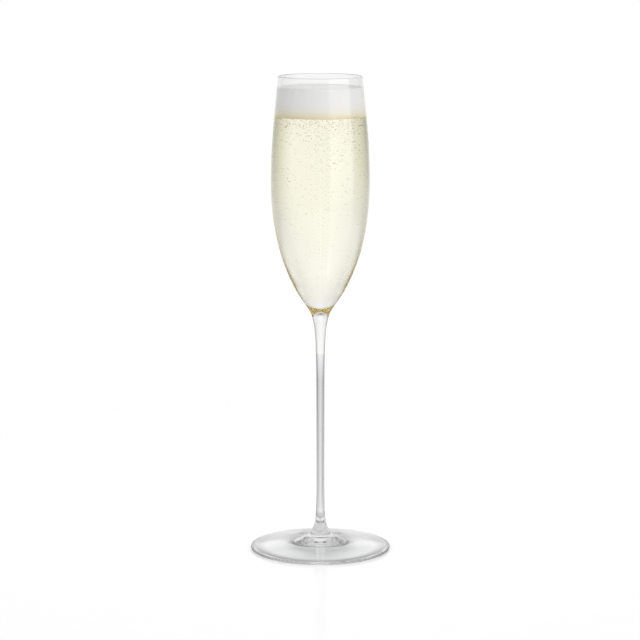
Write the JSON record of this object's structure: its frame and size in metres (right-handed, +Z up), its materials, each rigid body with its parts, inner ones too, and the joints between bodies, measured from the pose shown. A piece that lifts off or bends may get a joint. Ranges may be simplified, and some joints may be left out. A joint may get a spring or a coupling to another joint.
{
  "type": "champagne flute",
  "caption": "Tall stemmed flute of thin clear glass: a slender open bowl with a pointed base, a long drawn stem and a thin round foot.",
  "frame": {"origin": "centre of the plane the foot rests on, which is the middle of the bottom of the bounding box", "axes": "+Z up along the turning axis of the bowl, stem and foot, from the table towards the lip; +X and +Y are any two level directions, as the glass is round"},
  "size_m": [0.0764, 0.0764, 0.26],
  "materials": {
    "bowl_glass": "fire-polished clear glass",
    "stem_glass": "fire-polished clear glass",
    "foot_glass": "fire-polished clear glass"
  },
  "bodies": {
    "root": {"bowl": "bowl_glass", "stem": "stem_glass", "foot": "foot_glass"}
  },
  "joints": []
}
